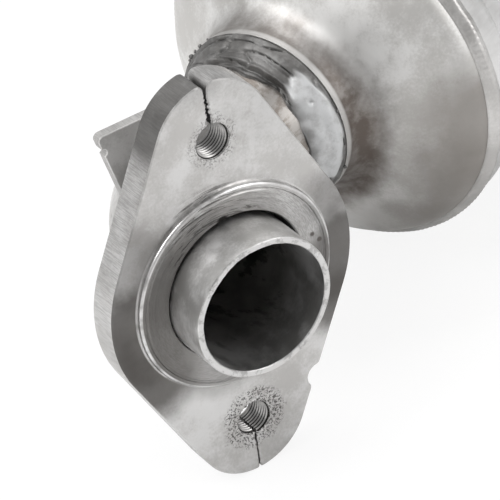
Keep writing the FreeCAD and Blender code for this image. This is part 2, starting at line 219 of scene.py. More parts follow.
def ramp_node(value, low, high, low_value=0.0, high_value=1.0):
    """A value led softly from low_value at low to high_value at high."""
    inputs = {"Value": value, "From Min": low, "From Max": high,
              "To Min": low_value, "To Max": high_value}
    return make_node(value.id_data, "MapRange", inputs, interpolation_type="SMOOTHSTEP").outputs["Result"]


def blend_node(factor, first, second):
    inputs = {"Factor": factor, "A": first, "B": second}
    return make_node(factor.id_data, "Mix", inputs, data_type="RGBA").outputs["Result"]


def math_node(operation, socket, second=0.0):
    return make_node(socket.id_data, "Math", {0: socket, 1: second}, operation=operation).outputs[0]


def both(first, second):
    """One mask within another, or a mask by a number."""
    return math_node("MULTIPLY", first, second)


def outside(mask):
    """All that a mask leaves out."""
    return make_node(mask.id_data, "Math", {0: 1.0, 1: mask}, operation="SUBTRACT").outputs[0]


def vector_node(operation, first, second=(0, 0, 0), result="Vector"):
    return make_node(first.id_data, "VectorMath", {0: first, 1: second}, operation=operation).outputs[result]


def object_place(tree):
    return make_node(tree, "TexCoord", {}).outputs["Object"]


def new_group(name, inputs, outputs):
    """A shader node group; returns its tree, its given values and its result."""
    tree = bpy.data.node_groups.new(name, "ShaderNodeTree")
    for label, kind, default in inputs:
        socket = tree.interface.new_socket(label, in_out="INPUT", socket_type="NodeSocket" + kind)
        socket.default_value = default
    for label, kind in outputs:
        tree.interface.new_socket(label, in_out="OUTPUT", socket_type="NodeSocket" + kind)
    return tree, tree.nodes.new("NodeGroupInput").outputs, tree.nodes.new("NodeGroupOutput").inputs


def build_steel_skin():
    """Handled stainless steel: cloudy tone, faint smears, fine scratches and a mottled gloss."""
    tree, given, result = new_group("steel_skin", (
        ("Light", "Color", (0.6, 0.58, 0.56, 1)), ("Dark", "Color", (0.3, 0.28, 0.26, 1)),
        ("Cloud Size", "Float", 60.0), ("Stretch", "Vector", (1, 1, 1)),
        ("Gloss Low", "Float", 0.25), ("Gloss High", "Float", 0.45)),
        (("Colour", "Color"), ("Roughness", "Float"), ("Height", "Float")))
    place = object_place(tree)
    cloud = noise_node(place, given["Cloud Size"], 5.0, 0.6)
    grain = noise_node(vector_node("MULTIPLY", place, given["Stretch"]), 1400.0, 3.0, 0.65)
    smear = noise_node(place, 170.0, 4.0, 0.55)
    for mark, share in ((grain, 0.35), (smear, 0.45)):
        cloud = math_node("ADD", cloud, both(math_node("SUBTRACT", mark, 0.5), share))
    feed(result["Colour"], blend_node(ramp_node(cloud, 0.34, 0.66), given["Dark"], given["Light"]))
    mixture = make_node(tree, "Math", {0: grain, 1: 0.45, 2: smear}, operation="MULTIPLY_ADD").outputs[0]
    gloss = make_node(tree, "MapRange", {"Value": mixture, "From Min": 0.5, "From Max": 1.0,
                                         "To Min": given["Gloss Low"], "To Max": given["Gloss High"]})
    feed(result["Roughness"], gloss.outputs["Result"])
    feed(result["Height"], grain)
    return tree


steel_skin = build_steel_skin()


def steel(name, light, dark, cloud_size, gloss, grain, metal=1.0, stretch=(1, 1, 1)):
    """A steel finish: its two tones, the size of its clouds, its gloss and its grain in mm."""
    finish = bpy.data.materials.new(name)
    finish.use_nodes = True
    tree = finish.node_tree
    shader = tree.nodes["Principled BSDF"].inputs
    skin = make_node(tree, "Group", {}, node_tree=steel_skin)
    for label, value in (("Light", light + (1,)), ("Dark", dark + (1,)), ("Cloud Size", cloud_size),
                         ("Stretch", stretch), ("Gloss Low", gloss[0]), ("Gloss High", gloss[1])):
        skin.inputs[label].default_value = value
    bump = make_node(tree, "Bump", {"Strength": 0.5, "Distance": grain * mm,
                                    "Height": skin.outputs["Height"]})
    feed(shader["Metallic"], metal)
    feed(shader["Normal"], bump.outputs["Normal"])
    feed(shader["Base Color"], skin.outputs["Colour"])
    feed(shader["Roughness"], skin.outputs["Roughness"])
    return finish


def speckle(finish, scale, detail, roughness, low, high, least=0.0, most=1.0, stretch=(1, 1, 1)):
    """A mask of noise over a finish, sharpened between low and high and drawn out by stretch."""
    place = vector_node("MULTIPLY", object_place(finish.node_tree), stretch)
    return ramp_node(noise_node(place, scale, detail, roughness), low, high, least, most)


def patch_mask(finish, centre, reach, soft, waver=0.0, wave_size=200.0, squeeze=(1, 1, 1)):
    """High within reach of a place, fading over soft, its outline wavering, all in mm; squeeze
    widens the patch along an axis where it is under one."""
    place = object_place(finish.node_tree)
    apart = vector_node("MULTIPLY", vector_node("SUBTRACT", place, centre), squeeze)
    distance = vector_node("LENGTH", apart, result="Value")
    if waver:
        cloud = math_node("SUBTRACT", noise_node(place, wave_size, 4.0, 0.6), 0.5)
        distance = math_node("ADD", distance, both(cloud, waver * mm))
    return ramp_node(distance, reach * mm, (reach + soft) * mm, 1.0, 0.0)


def stain(mask, colour, strength=1.0):
    """Lays a colour over the finish that a mask was made for, where the mask is high."""
    base = mask.id_data.nodes["Principled BSDF"].inputs["Base Color"]
    under = base.links[0].from_socket
    feed(base, blend_node(both(mask, strength), under, colour + (1,)))


def dull(mask, roughness):
    """Changes the roughness of the finish that a mask was made for, where the mask is high."""
    socket = mask.id_data.nodes["Principled BSDF"].inputs["Roughness"]
    mix = make_node(mask.id_data, "Mix", {"Factor": mask, "A": socket.links[0].from_socket, "B": roughness})
    feed(socket, mix.outputs["Result"])


def turn_in_bend(vector, length):
    """A direction at the rim turned as far as the elbow has bent at a length beyond its start."""
    return Matrix.Rotation(-length / bend_radius, 3, "Z") @ vector


def pipe_station(length):
    """Centre, sideways and forward directions of the inlet pipe at a length from its rim."""
    if length < bend_start:
        return outward * rim_length + flow * length, flange_right, flow
    if length < bend_start + bend_length:
        side = turn_in_bend(flange_right, length - bend_start)
        bend_centre = flow * bend_start_depth + flange_right * bend_radius
        return bend_centre - side * bend_radius, side, turn_in_bend(flow, length - bend_start)
    rest = length - bend_start - bend_length
    return elbow_corner + along * (tangent_length + rest), Vector((0, -1, 0)), along


def fractions(count):
    """Even steps from 0 to 1."""
    return [i / count for i in range(count + 1)]


def angles(count):
    """Even angles round a circle."""
    return [2 * pi * i / count for i in range(count)]


def spoke(angle, *rest):
    """A direction at an angle round an axis, with what stands along that axis."""
    return Vector((cos(angle), sin(angle), *rest))


def pipe_ring(length, radius):
    """A loop round the pipe; near the rim it is a little out of round and its edge wavers."""
    centre, side, ahead = pipe_station(length)
    near_rim = max(0.0, 1 - length / (12 * mm))
    loop = []
    for angle in angles(160):
        around = spoke(angle, 0)
        waver = noise(around * 2.2 + Vector((7, 3, 1)))
        waver += 0.5 * noise(around * 9.0) + 0.4 * noise(around * 24.0)
        oval = rim_out_of_round * cos(2 * angle + 0.6)
        r = radius + near_rim * (oval + 0.3 * rim_ripple * waver)
        slide = ahead * near_rim * rim_ripple * waver
        loop.append(centre + side * (r * around.x) + up * (r * around.y) + slide)
    return loop


def eased(t):
    """Rises from 0 to 1 with a soft start and end."""
    return t * t * (3 - 2 * t)


def flared_wall(x, length, first, last, steps=8):
    """(x, r) points of a wall that swells or narrows smoothly over a length."""
    return [(x + length * t, first + (last - first) * eased(t)) for t in fractions(steps)]


def pipe_loops():
    """Outer face from rim to flare, then the inner face back to the rim."""
    stations = [tube_edge, 1.2 * mm, 4 * mm, 8 * mm, rim_length]
    stations += [bend_start + bend_length * t for t in fractions(26)]
    stations.append(bend_start + bend_length + 9 * mm)
    outer = [(length, pipe_radius) for length in stations]
    outer += flared_wall(flare_from, flare_length, pipe_radius, flare_radius, 6)
    outer.append((pipe_length, flare_radius))
    inner = [(length, radius - pipe_wall) for length, radius in reversed(outer)]
    rim = [(0.0, pipe_radius - pipe_wall + tube_edge), (0.0, pipe_radius - tube_edge)]
    return [pipe_ring(length, radius) for length, radius in outer + inner + rim]


pipe_finish = steel("drawn_tube", (0.74, 0.735, 0.73), (0.52, 0.515, 0.505), 45.0, (0.36, 0.52), 0.03,
                    stretch=(1, 1, 0.3))
heat_centre = neck_axis + along * (neck_start - 11 * mm)
heat = patch_mask(pipe_finish, heat_centre, 21, 9, 16, 120.0)
stain(heat, (0.31, 0.292, 0.275), 0.9)
soot = patch_mask(pipe_finish, flow * 18 * mm, 17, 16, 7, 150.0)
stain(soot, (0.20, 0.187, 0.175), 0.75)
streaks = speckle(pipe_finish, 300.0, 5.0, 0.65, 0.46, 0.62, stretch=(0.35, 0.35, 1))
stain(both(streaks, heat), (0.17, 0.145, 0.125), 0.75)
stand_out = vector_node("DOT_PRODUCT", object_place(pipe_finish.node_tree), outward, "Value")
cut_end = ramp_node(stand_out, rim_length - 0.35 * mm, rim_length - 0.1 * mm)
stain(cut_end, (0.50, 0.495, 0.49), 0.9)
burr = speckle(pipe_finish, 330.0, 4.0, 0.7, 0.50, 0.60)
stain(both(cut_end, burr), (0.27, 0.265, 0.26), 0.7)
drips = speckle(pipe_finish, 150.0, 5.0, 0.7, 0.52, 0.60, stretch=(1, 0.3, 1))
stain(both(drips, soot), (0.05, 0.045, 0.04), 0.7)
fit_piece("inlet_pipe_tube", closed_skin(pipe_loops()), pipe_finish, "inlet_pipe")

# ------------------
# Inlet flange: nine-millimetre plate cut to a two-eared outline, with a raised boss round the
# pipe, two tapped holes, a saw cut from each hole out through its ear and a half-round notch.
flange_thickness = 9.0 * mm
half_pitch = 44.0 * mm
tip_radius = 17.0 * mm
waist_radius = 36.8 * mm
thread_radius = 5.0 * mm
bore_radius = 20.6 * mm
bore_shift = 0.35 * mm
boss_radius = 29.4 * mm
boss_height = 1.7 * mm
boss_edge = 0.9 * mm
land_width = 4.6 * mm
dish_depth = 0.35 * mm
upper_kerf = 0.85 * mm
lower_kerf = 0.4 * mm
notch_radius = 3.5 * mm
notch_place = Vector((21.7 * mm, -41.2 * mm))
notch_shoulder = 1.6 * mm
edge_break = 0.35 * mm
right_angle = pi / 2


def arc_points(centre, radius, start, end, step=0.9 * mm):
    """Points along an arc in the flange's plane, start and end in radians."""
    count = max(2, int(abs(end - start) * radius / step))
    return [Vector(centre) + spoke(start + (end - start) * t) * radius for t in fractions(count)]


def line_points(start, end, step=0.9 * mm):
    """Points along a straight edge, without its ends."""
    count = max(1, int((end - start).length / step))
    return [start.lerp(end, t) for t in fractions(count)[1:-1]]


def saw_cut(facing, width, ragged, mouth):
    """The contour of a bolt hole and its saw cut in the ear's own axes: in along one wall, round
    the hole and out along the other. facing is the cut's direction from the hole."""
    hole_gap = asin(width / 2 / thread_radius)
    way = spoke(facing)
    side = Vector((way.y, -way.x))
    low, high = thread_radius * cos(hole_gap), tip_radius - mouth
    steps = 34
    entry, leave, lips = [], [], []
    for i in range(steps + 1):
        reach = high + (low - high) * i / steps
        fade = min(1.0, i / 3) * min(1.0, (steps - i) / 2)
        right = noise(Vector((1.7, reach / mm * 1.9, 5))) * ragged * fade
        left = noise(Vector((9.2, reach / mm * 1.7, 2))) * ragged * fade
        entry.append(way * reach + side * (width / 2 + right))
        leave.append(way * reach - side * (width / 2 + left))
    for hand in (side, -side):
        centre = way * high + hand * (width / 2 + mouth)
        rounding = [centre + (way * sin(t * pi / 12) - hand * cos(t * pi / 12)) * mouth
                    for t in range(1, 6)]
        lips.append([point for point in rounding if point.length < tip_radius - 0.05 * mm])
    hole = arc_points((0, 0), thread_radius, facing - hole_gap, facing + hole_gap - 2 * pi, 0.5 * mm)
    return lips[0][::-1] + entry + hole[1:-1] + leave[::-1] + lips[1]


def plate_contour(cuts):
    """The plate's edge, anticlockwise from the right waist. An ear with a cut carries it and the
    hole at its end: (width, raggedness, rounding of the mouth)."""
    lean = asin((waist_radius - tip_radius) / half_pitch)
    contour = []
    for hand, cut in zip((1, -1), cuts):
        turn = 0 if hand > 0 else pi
        facing, opposite = turn + right_angle, turn + pi - lean
        ear = Vector((0.0, hand * half_pitch))
        waist = arc_points((0, 0), waist_radius, turn - lean, turn + lean)
        if cut:
            width, ragged, mouth = cut
            gap = asin((width / 2 + 0.9 * mouth) / tip_radius)
            rim = arc_points(ear, tip_radius, turn + lean, facing - gap)
            rim += [ear + point for point in saw_cut(facing, width, ragged, mouth)]
            rim += arc_points(ear, tip_radius, facing + gap, opposite)
        else:
            rim = arc_points(ear, tip_radius, turn + lean, opposite)
        next_waist = spoke(opposite) * waist_radius
        contour += waist + line_points(waist[-1], rim[0]) + rim + line_points(rim[-1], next_waist)
    return contour


def bite_notch(contour, centre, radius, shoulder):
    """Takes a round bite out of a contour and rounds the two corners that it leaves."""
    inside = [i for i, point in enumerate(contour) if (point - centre).length < radius]
    first, last = inside[0], inside[-1]
    along_edge = (contour[last + 1] - contour[first - 1]).normalized()
    inward = Vector((-along_edge.y, along_edge.x))
    height = (contour[first - 1] - centre).dot(inward)
    reach = sqrt((radius + shoulder) ** 2 - (height + shoulder) ** 2)
    bitten = []
    for hand in (-1, 1):
        ball = centre + along_edge * hand * reach + inward * (height + shoulder)
        to_edge, to_notch = -inward, (centre - ball).normalized()
        sweep = to_edge.angle(to_notch)
        arms = [to_edge * sin(sweep * (1 - t)) + to_notch * sin(sweep * t) for t in fractions(6)]
        bitten.append([ball + arm * (shoulder / sin(sweep)) for arm in arms][::-hand])
    start, end = bitten[0][-1] - centre, bitten[1][0] - centre
    low, high = atan2(end.y, end.x), atan2(start.y, start.x)
    while low > high:
        low -= 2 * pi
    bite = bitten[0] + arc_points(centre, radius, high, low, 0.5 * mm)[1:-1] + bitten[1]

    def clear(point, corner, hand, gap):
        apart = point - corner
        beyond = apart.length > gap and apart.dot(along_edge) * hand > 0
        return beyond or (point - centre).length > 3 * radius

    before = [point for point in contour[:first] if clear(point, bite[0], -1, 0.3 * mm)]
    after = [point for point in contour[last + 1:] if clear(point, bite[-1], 1, 0.0)]
    return drop_repeats(before + bite + after)


def drop_repeats(contour):
    """Leaves out points that lie on their neighbours."""
    kept = []
    for point in contour:
        if not kept or (point - kept[-1]).length > 0.12 * mm:
            kept.append(point)
    if (kept[0] - kept[-1]).length < 0.12 * mm:
        kept.pop()
    return kept


def inset(contour, distance):
    """The same contour moved inwards, for a broken edge."""
    moved = []
    for back, point, ahead in zip(contour[-1:] + contour[:-1], contour, contour[1:] + contour[:1]):
        way = (ahead - back).normalized()
        moved.append(point + Vector((-way.y, way.x)) * distance)
    return moved


def bridge(build, loops):
    """Faces between closed loops of as many vertices."""
    for first, second in zip(loops, loops[1:]):
        for i in range(len(first)):
            build.faces.new((first[i - 1], first[i], second[i], second[i - 1]))


def edges_of(build, loop):
    """The edges of a closed loop of vertices, made where there are none yet."""
    ends = [(loop[i - 1], loop[i]) for i in range(len(loop))]
    return [build.edges.get(pair) or build.edges.new(pair) for pair in ends]


def fill(build, edges):
    """A flat face between closed rows of edges."""
    bmesh.ops.triangle_fill(build, use_beauty=True, use_dissolve=False, edges=edges)


def finished(build):
    """The mesh of a build."""
    mesh = bpy.data.meshes.new("built")
    build.to_mesh(mesh)
    build.free()
    return mesh


def plate_mesh(contour, place, holes=(), boss=(), thickness=flange_thickness, bevel=edge_break):
    """A plate from its contour: faces, broken edges and side walls; boss is a row of rings of
    (radius, out, shift) from the face to the back through the bore."""
    build = bmesh.new()
    front_edges, back_edges = [], []

    def wall(lines):
        rings = [[build.verts.new(place(point.x, point.y, out)) for point in line] for line, out in lines]
        bridge(build, rings)
        front_edges.extend(edges_of(build, rings[0]))
        back_edges.extend(edges_of(build, rings[-1]))

    for line, sign in [(contour, 1)] + [(hole, -1) for hole in holes]:
        broken = inset(line, sign * bevel)
        wall([(broken, 0), (line, -bevel), (line, -thickness + bevel), (broken, -thickness)])
    if boss:
        wall([([Vector((shift, shift)) + spoke(a) * radius for a in angles(160)], out)
              for radius, out, shift in boss])
    fill(build, front_edges)
    fill(build, back_edges)
    return finished(build)


def on_inlet(right, rise, out):
    """From the inlet flange's own axes to the assembly."""
    return flange_right * right + up * rise + outward * out


def boss_rings():
    """The boss from its foot, over its rounded edge, the two grooves inside its rim and its
    land, into the dish and down the bore, which stands off the boss's centre."""
    rings = [(boss_radius, 0.0, 0)]
    for angle in (right_angle * t for t in fractions(4)):
        rings.append((boss_radius - boss_edge * (1 - cos(angle)),
                      boss_height - boss_edge * (1 - sin(angle)), 0))
    for inwards, height in ((1.5, 1.7), (1.8, 1.4), (2.15, 1.4), (2.4, 1.58), (2.75, 1.58), (3.1, 1.42)):
        rings.append((boss_radius - inwards * mm, height * mm, 0))
    land = boss_radius - land_width
    dish = boss_height - 1.3 * dish_depth
    rings += [(land + dish_depth, boss_height - 0.28 * mm, 0), (land, boss_height - dish_depth, 0),
              (land - dish_depth, dish, 0), (bore_radius + 2.2 * mm, dish, bore_shift / 2)]
    for wider, out in ((edge_break, dish), (0, dish - edge_break), (0, edge_break - flange_thickness),
                       (edge_break, -flange_thickness)):
        rings.append((bore_radius + wider, out, bore_shift))
    return rings


def build_cut_wall():
    """Marks of the cutting torch: fine lines through a plate's thickness on its walls only."""
    tree, given, result = new_group("cut_wall", (("Plate Normal", "Vector", (0, 0, 1)),),
                                    (("Wall", "Float"), ("Lines", "Float")))
    place, normal = object_place(tree), given["Plate Normal"]
    facing = make_node(tree, "NewGeometry", {}).outputs["Normal"]
    facing = vector_node("DOT_PRODUCT", facing, normal, "Value")
    depth = vector_node("DOT_PRODUCT", place, normal, "Value")
    through = make_node(tree, "VectorMath", {0: normal, "Scale": both(depth, 0.93)}, operation="SCALE")
    feed(result["Wall"], ramp_node(math_node("ABSOLUTE", facing), 0.25, 0.6, 1.0, 0.0))
    feed(result["Lines"], noise_node(vector_node("SUBTRACT", place, through.outputs[0]), 3200.0, 2.0, 0.6))
    return tree


cut_wall = build_cut_wall()


def mark_walls(finish, normal, colour):
    """Adds the torch's lines to a plate's walls; returns the mask of the walls."""
    marks = make_node(finish.node_tree, "Group", {}, node_tree=cut_wall)
    feed(marks.inputs["Plate Normal"], normal)
    lines = ramp_node(marks.outputs["Lines"], 0.36, 0.66, 0.05, 0.6)
    stain(both(marks.outputs["Wall"], lines), colour)
    return marks.outputs["Wall"]


flange_finish = steel("cut_plate", (0.56, 0.555, 0.55), (0.41, 0.40, 0.39), 55.0, (0.38, 0.58), 0.04)
walls = mark_walls(flange_finish, outward, (0.27, 0.265, 0.26))
face_only = outside(walls)
for right_side, rise, wide, strength in (
        (-32, -3, 11, 0.9), (-28, -18, 8, 0.85), (-29, 19, 5, 0.5), (-22, -4, 8, 0.7), (14, 47, 6, 0.15),
        (34, -6, 9, 0.85), (28, -19, 4, 0.8), (31, 12, 4, 0.6), (0, 66, 4, 0.35)):
    grime = patch_mask(flange_finish, on_inlet(right_side * mm, rise * mm, 0), wide, 10, 12, 70.0)
    stain(both(grime, face_only), (0.075, 0.07, 0.066), strength)
# Painted shade: the boss darkened round the pipe, more towards the left and below.
pipe_shade_centre = on_inlet(-3 * mm, -3 * mm, boss_height)
stain(patch_mask(flange_finish, pipe_shade_centre, 24, 8, 8, 90.0), (0.17, 0.163, 0.155), 0.6)

# Turning marks: noise drawn out the way round the boss, coarse as scuffs and fine all over.
on_face = vector_node("SUBTRACT", object_place(flange_finish.node_tree), outward * boss_height)
from_axis = vector_node("LENGTH", on_face, result="Value")
round_size, outward_size = 0.011, 3.0
way_round = vector_node("MULTIPLY", vector_node("NORMALIZE", on_face), (round_size,) * 3)
outwards = make_node(flange_finish.node_tree, "CombineXYZ", {"X": both(from_axis, outward_size)}).outputs[0]
turned_place = vector_node("ADD", way_round, outwards)
land_centre = on_inlet(-4 * mm, 18 * mm, boss_height)
land_patch = patch_mask(flange_finish, land_centre, 11, 5, 6)
scuffs = ramp_node(noise_node(turned_place, 420.0, 5.0, 0.7), 0.52, 0.58)
stain(both(scuffs, land_patch), (0.05, 0.046, 0.043), 0.85)
on_boss = both(ramp_node(from_axis, 28.2 * mm, 28.6 * mm, 1.0, 0.0), face_only)
fine_turning = ramp_node(noise_node(turned_place, 1500.0, 3.0, 0.6), 0.38, 0.62)
stain(both(fine_turning, on_boss), (0.19, 0.185, 0.18), 0.5)

# Pits round the two holes, a speckled painted highlight on the boss's rim, painted shade on the upper ear's
# wall, a burnt chip and painted shade for two small dents.
pits = speckle(flange_finish, 1700.0, 3.0, 0.7, 0.50, 0.58)
for rise, wide, strength in ((-half_pitch, 8.2, 0.9), (half_pitch, 6.2, 0.5)):
    torn = patch_mask(flange_finish, on_inlet(0, rise, 0), wide, 2.2, 5, 260.0)
    stain(both(pits, torn), (0.06, 0.056, 0.053), strength)
# Painted highlight: the boss's rounded rim is lightened in speckles and made glossier.
rim = ramp_node(from_axis, 29.6 * mm, 30.1 * mm, 1.0, 0.0)
rim = both(ramp_node(from_axis, 28.5 * mm, 28.8 * mm), rim)
rim_highlight_speckle = speckle(flange_finish, 110.0, 4.0, 0.6, 0.38, 0.60, 0.25, 0.9)
stain(both(rim, rim_highlight_speckle), (0.74, 0.735, 0.73), 0.75)
dull(rim, 0.30)
# Painted shade: the wall of the upper ear is darkened towards its left.
ear_shade_centre = on_inlet(-12 * mm, 56 * mm, -6 * mm)
ear_wall_shade = patch_mask(flange_finish, ear_shade_centre, 9, 9, 6, 150.0)
stain(both(ear_wall_shade, walls), (0.10, 0.097, 0.093), 0.8)
chip_place = on_inlet(-1.1 * mm, 21.4 * mm, boss_height - 0.4 * mm)
chip = patch_mask(flange_finish, chip_place, 0.5, 0.7, 1.0, 500.0, (0.5, 0.5, 1))
stain(chip, (0.02, 0.018, 0.017))
# Painted shade: two small dark spots stand in for two small dents in the boss.
for right_side, rise in ((24.3, 4.2), (26.2, 1.8)):
    dent_shade_place = on_inlet(right_side * mm, rise * mm, boss_height)
    stain(patch_mask(flange_finish, dent_shade_place, 0.5, 0.5), (0.10, 0.09, 0.085))

inlet_contour = plate_contour(((upper_kerf, 0.7 * mm, 2.4 * mm), (lower_kerf, 0.35 * mm, 0.8 * mm)))
inlet_contour = bite_notch(inlet_contour, notch_place, notch_radius, notch_shoulder)
fit_piece("inlet_flange_plate", plate_mesh(inlet_contour, on_inlet, boss=boss_rings()),
          flange_finish, "inlet_flange", 30)

# ------------------
# Threads of the two tapped holes: coarse ridges cut in the plate, open where the saw cut passes,
# and round each hole the crust of torn metal that the drill threw up.
thread_pitch = 1.0 * mm
thread_depth = 0.6 * mm


def mark_points(mesh, label, values):
    """Stores a number on each vertex, for a finish to read."""
    mesh.attributes.new(label, "FLOAT", "POINT").data.foreach_set("value", values)


def point_mark(finish, label):
    """The mask of the numbers stored on a mesh."""
    return make_node(finish.node_tree, "Attribute", {}, attribute_name=label).outputs["Fac"]


def round_hole(gap, steps):
    """Even angles round a hole from one side of its saw cut to the other."""
    return [gap + 2 * (pi - gap) * t for t in fractions(steps)]


def by_hole(side, way, radius, out):
    """A place by the upper or lower hole, at an angle from its saw cut."""
    angle = side * right_angle + way
    return on_inlet(radius * cos(angle), side * half_pitch + radius * sin(angle), out)


def thread_mesh(side, width):
    """Triangular ridges winding down a hole, one strip for each turn; its roots are marked for painted
    shade.
    """
    crest, base = thread_radius - thread_depth, thread_radius + 0.05 * mm
    strips = []
    for turn in range(int(flange_thickness / thread_pitch)):
        rows = []
        for way in round_hole(asin(width / 2 / thread_radius) + 0.04, 44):
            out = -(turn + 0.55 + way / (2 * pi) * 0.9) * thread_pitch
            out = max(out, -flange_thickness + 0.7 * thread_pitch)
            rows.append([by_hole(side, way, radius, out + rise * thread_pitch) for radius, rise in (
                (base, 0.5), (crest, 0.06), (crest, -0.06), (base, -0.5))])
        strips.append(rows)
    mesh = closed_skin(*strips, capped=True)
    mark_points(mesh, "root", [1.0, 0.0, 0.0, 1.0] * (len(mesh.vertices) // 4))
    return mesh


def torn_ring(side, reach, rise):
    """The crust of torn metal round a hole, open where the saw cut passes."""
    loops = []
    for way in round_hole(asin(0.8 * mm / thread_radius), 150):
        around = spoke(side * right_angle + way, side)
        top, foot = [], []
        for t in fractions(14):
            radius = thread_radius + 0.1 * mm + reach * (1 + 0.25 * noise(around * 2.5)) * t
            crust = max(0.0, noise(around * (radius / mm) * 1.6) + 0.15) * (1 - t) ** 0.6 * rise
            top.append(by_hole(side, way, radius, 0.015 * mm + crust))
            foot.append(by_hole(side, way, radius, -0.4 * mm))
        loops.append(top + foot[::-1])
    return closed_skin(loops, capped=True)


thread_finish = steel("tapped_thread", (0.50, 0.49, 0.48), (0.27, 0.265, 0.26), 160.0, (0.28, 0.45), 0.03)
# Painted shade: the roots of the threads are darkened nearly to black.
stain(ramp_node(point_mark(thread_finish, "root"), 0.25, 0.7), (0.012, 0.011, 0.01))
for hole, side, kerf in (("upper", 1, upper_kerf), ("lower", -1, lower_kerf)):
    fit_piece(hole + "_thread", thread_mesh(side, kerf), thread_finish, None)
for hole, side, reach, rise in (("lower", -1, 4.2 * mm, 0.55 * mm), ("upper", 1, 1.6 * mm, 0.25 * mm)):
    fit_piece(hole + "_hole_burr", torn_ring(side, reach, rise), flange_finish, None, 50)

# ------------------
# Inlet neck weld: a thick hand-laid bead that closes the dome's collar on the pipe, dark, lumpy
# and folded, with one smooth silver run and a few balls of weld spatter.
collar_radius = 26.5 * mm
neck_weld_length = 8.0 * mm
weld_root = pipe_radius - 1.0 * mm
crater_angle = radians(146)


def about(axis):
    """Places a bead's (x, angle, r) round an axis along X."""
    return lambda x, angle, r: axis + Vector((x, r * cos(angle), r * sin(angle)))


def carried_round(section, place, count=220):
    """A closed section carried round its pipe; section(angle) gives (x, r) points."""
    return closed_skin([[place(x, angle, r) for x, r in section(angle)] for angle in angles(count)])


def fade_out(low, high, value):
    """Falls from 1 at low to 0 at high."""
    return 1 - eased(min(1.0, max(0.0, (value - low) / (high - low))))


def neck_bead(edge, hand, place, seed, silver=None):
    """The bead as overlapping runs that fold over each other from the collar down to the pipe;
    silver is the angle at the middle of its smooth run, if it has one."""
    loops, polish = [], []

    def wander(size, depth):
        return noise(Vector((around.x * size, around.y * size, depth)))

    for angle in angles(400):
        around = spoke(angle, seed)
        length = neck_weld_length * (1.14 + 0.18 * noise(around * 1.9 + Vector((4, 4, 4)))
                                     + 0.14 * noise(around * 5.5))
        fall = collar_radius - pipe_radius - 0.3 * mm
        away = Vector((hand * fall, length)).normalized()
        apart = pi if silver is None else abs((angle - silver + pi) % (2 * pi) - pi)
        loop, marks = [place(edge, angle, weld_root)], [0.0]
        for t in fractions(46):
            height = 0.0
            for run, (middle, half, rise) in enumerate(
                    ((0.10, 0.22, 0.9), (0.36, 0.26, 1.5), (0.66, 0.26, 1.6), (0.88, 0.16, 0.9))):
                middle += 0.14 * noise(around * 3.1 + Vector((run * 5.0, 1, 2)))
                rise *= 1 + 0.45 * noise(around * 3.0 + Vector((1, run * 3.0, 7)))
                height = max(height, rise * (1 - ((t - middle) / half) ** 2))
            fold = max(0.0, 1 - abs(wander(1.7, seed + 3.4 * t)) / 0.11) ** 2
            lap = (t - 0.74 - 0.16 * noise(around * 2.1 + Vector((3, 9, 1)))) / 0.06
            height += 0.25 * wander(4, seed + 3 * t) - 0.75 * fold + 0.16 * wander(12, seed + 9 * t)
            height += 0.8 * exp(-lap * lap) - 0.7 * exp(-(lap - 1.9) ** 2)
            oval = (apart / 0.74) ** 3 + (abs(t - 0.52) / 0.46) ** 3
            share = fade_out(0.66, 1.0, oval + 0.35 * wander(4, 5 * t))
            crater = ((angle - crater_angle) * pipe_radius / (0.55 * mm)) ** 2 + ((t - 0.5) / 0.05) ** 2
            even = 1.9 * (1 - (2 * t - 0.95) ** 4) + 0.35 * wander(6, 4 * t) - 0.7 * exp(-crater)
            height += (even - height) * share
            height *= min(1.0, t / 0.04, (1 - t) / 0.05) * mm
            loop.append(place(edge + hand * length * t + away.x * height, angle,
                              collar_radius - 0.35 * mm - fall * t + away.y * height))
            marks.append(share)
        loops.append(loop + [place(edge + hand * length, angle, weld_root)])
        polish += marks + [0.0]
    mesh = closed_skin(loops)
    mark_points(mesh, "polish", polish)
    return mesh


def spatter(spots):
    """Small balls of weld metal stuck on the collar's edge; spots are (offset, degrees, size)."""
    build = bmesh.new()
    for offset, degrees, size in spots:
        place = about(neck_axis)(neck_start + offset * mm, radians(degrees), collar_radius + 0.1 * mm)
        ball = bmesh.ops.create_icosphere(build, subdivisions=2, radius=size * mm,
                                          matrix=Matrix.Translation(place))
        for vert in ball["verts"]:
            arm = vert.co - place
            vert.co += arm * 0.5 * noise(arm / (size * mm) + place * 900)
    return finished(build)


weld_finish = steel("weld_bead", (0.20, 0.197, 0.193), (0.11, 0.108, 0.105), 150.0, (0.50, 0.70), 0.08, 0.8)
stain(speckle(weld_finish, 260.0, 5.0, 0.65, 0.42, 0.62), (0.12, 0.115, 0.11), 0.5)
silver_run = point_mark(weld_finish, "polish")
stain(silver_run, (0.57, 0.575, 0.58), 0.85)
dull(silver_run, 0.62)
stain(both(speckle(weld_finish, 330.0, 5.0, 0.7, 0.44, 0.66), silver_run), (0.33, 0.325, 0.32), 0.45)
inlet_spots = ((0.1, 28, 0.55), (-0.4, 33, 0.75), (0.2, 37, 0.5), (-0.2, 44, 0.6), (0.3, 52, 0.4),
               (-0.6, 160, 0.4), (0.0, 201, 0.55))
fit_piece("inlet_neck_spatter", spatter(inlet_spots), weld_finish, None, 80)
fit_piece("inlet_neck_bead", neck_bead(neck_start, -1, about(neck_axis), 1.0, radians(166)),
          weld_finish, "inlet_neck_weld", 70)

# ------------------
# Inlet dome: pressed from stainless sheet in one piece, skirt, tight knuckle, shallow crown and a
# collar drawn off the can's axis. It carries brown heat smudges round the collar, and painted shade on its
# knuckle.
dome_wall = 1.2 * mm
dome_radius = 51.9 * mm
dome_rise = 21.0 * mm
crown_radius = 80.0 * mm
knuckle_radius = 9.0 * mm
collar_height = 26.0 * mm
collar_fillet = 9.0 * mm
collar_offset = 4.1 * mm
skirt_length = 10.0 * mm
can_axis = neck_axis - Vector((0, collar_offset, 0))
dome_edge = neck_start + collar_height


